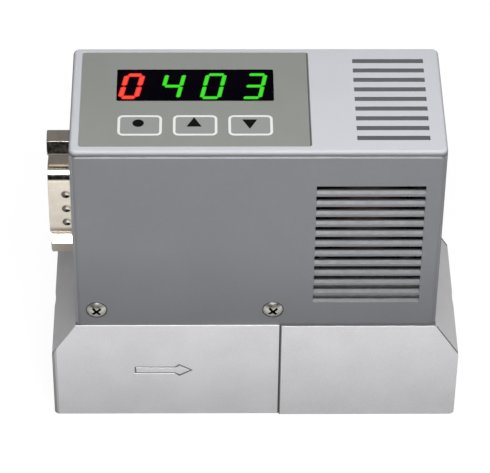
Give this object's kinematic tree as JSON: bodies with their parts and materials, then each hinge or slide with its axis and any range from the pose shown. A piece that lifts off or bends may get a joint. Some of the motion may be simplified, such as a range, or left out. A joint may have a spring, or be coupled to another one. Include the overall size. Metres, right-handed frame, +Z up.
{
  "type": "mass flow controller",
  "caption": "Gas mass flow controller: two-block aluminium base with end ports, sheet-metal housing with vents, display and keypad on top, D-type connector at the left.",
  "frame": {"origin": "middle of the base's underside", "axes": "+X along the gas flow from inlet to outlet, +Y to the back, +Z up"},
  "size_m": [0.082, 0.0332, 0.0701],
  "materials": {
    "anodised_block": "bead-blasted and clear anodised, satin",
    "black_rubber": "matte",
    "stainless_steel": "turned, bright",
    "sintered_bronze": "porous, matte",
    "enamelled_copper": "enamelled, gloss",
    "plain_aluminium": "mill finish",
    "magnetic_steel": "satin",
    "nylon": "natural, matte",
    "zinc_steel": "zinc plated",
    "grey_paint": "fine texture, satin",
    "silver_paint": "smooth, satin",
    "nickel_steel": "nickel plated",
    "grey_film": "fine matte polyester",
    "smoked_film": "clear gloss, smoked",
    "black_plastic": "moulded",
    "circuit_board": "green solder resist",
    "ribbon_pvc": "grey",
    "capacitor_sleeve": "bare can",
    "nickel_plate": "nickel plated, warm",
    "gold_plate": "gold flash, bright"
  },
  "bodies": {
    "base": {"inlet_block": "anodised_block", "outlet_block": "anodised_block", "joint_seal": "black_rubber", "block_bolts": "stainless_steel", "inlet_filter": "sintered_bronze", "laminar_element": "stainless_steel", "sensor_base": "stainless_steel", "sensor_seals": "black_rubber", "sensor_tube": "stainless_steel", "sensor_windings": "enamelled_copper", "sensor_cover": "plain_aluminium", "sensor_screws": "stainless_steel", "valve_seat": "stainless_steel", "plunger_spring": "stainless_steel", "chamber_seal": "black_rubber", "core_tube": "stainless_steel", "coil_bobbin": "nylon", "coil_winding": "enamelled_copper", "coil_yoke": "magnetic_steel", "yoke_nut": "zinc_steel", "valve_screws": "stainless_steel", "housing": "grey_paint", "top_panel": "silver_paint", "cover_screws": "nickel_steel", "keypad_film": "grey_film", "display_window": "smoked_film", "display_module": "black_plastic", "display_board": "circuit_board", "display_screws": "zinc_steel", "key_switches": "black_plastic", "ribbon_headers": "black_plastic", "ribbon_cable": "ribbon_pvc", "main_board": "circuit_board", "board_bracket": "plain_aluminium", "board_screws": "zinc_steel", "board_chips": "black_plastic", "board_capacitors": "capacitor_sleeve", "connector_board": "circuit_board", "link_header": "black_plastic", "connector_shell": "nickel_plate", "connector_insulator": "black_plastic", "connector_pins": "gold_plate", "jack_screws": "nickel_plate", "flange_nuts": "nickel_plate"},
    "key_set": {"key_set": "black_plastic"},
    "key_up": {"key_up": "black_plastic"},
    "key_down": {"key_down": "black_plastic"},
    "valve_plunger": {"valve_plunger": "magnetic_steel", "plunger_seal": "black_rubber"}
  },
  "joints": [
    {"name": "key_set_press", "type": "slide", "parent": "base", "child": "key_set", "axis": [0, 0, -1], "range_m": [0, 0.00025], "stiffness_N_per_m": 4000, "springref_m": -0.0002},
    {"name": "key_up_press", "type": "slide", "parent": "base", "child": "key_up", "axis": [0, 0, -1], "range_m": [0, 0.00025], "stiffness_N_per_m": 4000, "springref_m": -0.0002},
    {"name": "key_down_press", "type": "slide", "parent": "base", "child": "key_down", "axis": [0, 0, -1], "range_m": [0, 0.00025], "stiffness_N_per_m": 4000, "springref_m": -0.0002},
    {"name": "plunger_lift", "type": "slide", "parent": "base", "child": "valve_plunger", "axis": [0, 0, 1], "range_m": [0, 0.0004], "stiffness_N_per_m": 500, "springref_m": -0.002, "deforming": ["plunger_spring"]}
  ]
}
